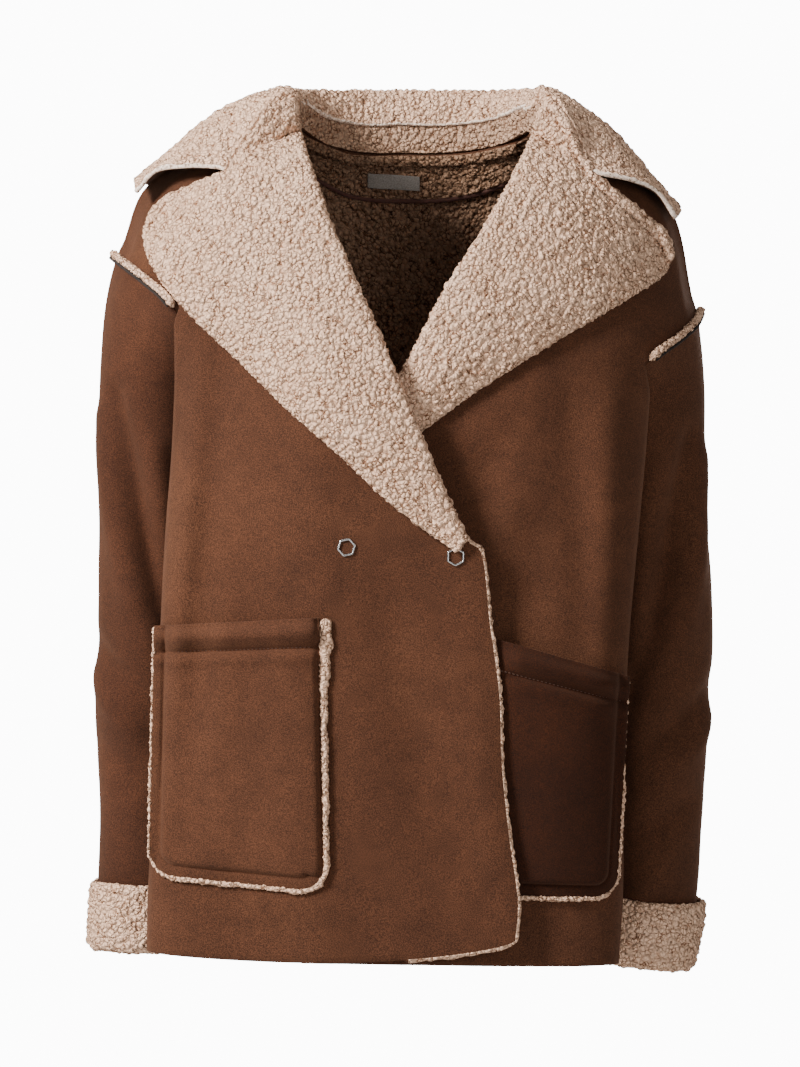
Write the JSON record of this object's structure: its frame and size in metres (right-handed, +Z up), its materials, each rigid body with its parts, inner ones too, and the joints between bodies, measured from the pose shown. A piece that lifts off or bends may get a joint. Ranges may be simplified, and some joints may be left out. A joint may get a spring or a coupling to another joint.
{
  "type": "faux shearling coat",
  "caption": "Hip-length double-breasted coat of bonded faux suede and pile, filled out as worn, with wide pile lapels, turned-back cuffs and patch pockets.",
  "frame": {"origin": "on the centre plane at the height of the high shoulder points, where the wearer's neck and shoulders hold the coat", "axes": "+Z up along the coat, -Y towards its front, +X towards the wearer's left"},
  "size_m": [0.5595, 0.2963, 0.798],
  "materials": {
    "suede": "napped faux suede",
    "pile": "curly sherpa pile",
    "tape": "woven binding tape",
    "satin": "blank satin label",
    "snap_metal": "polished"
  },
  "bodies": {
    "root": {"right_front": "suede", "left_front": "suede", "back": "suede", "right_sleeve": "suede", "left_sleeve": "suede", "right_cuff": "pile", "left_cuff": "pile", "collar": "pile", "collar_stand": "pile", "neck_facing": "pile", "facing_tape": "tape", "neck_label": "satin", "right_pocket": "suede", "left_pocket": "suede", "right_pocket_edge": "pile", "left_pocket_edge": "pile", "right_armhole_edge": "pile", "left_armhole_edge": "pile", "upper_snap": "snap_metal", "lower_snap": "snap_metal"}
  },
  "joints": []
}
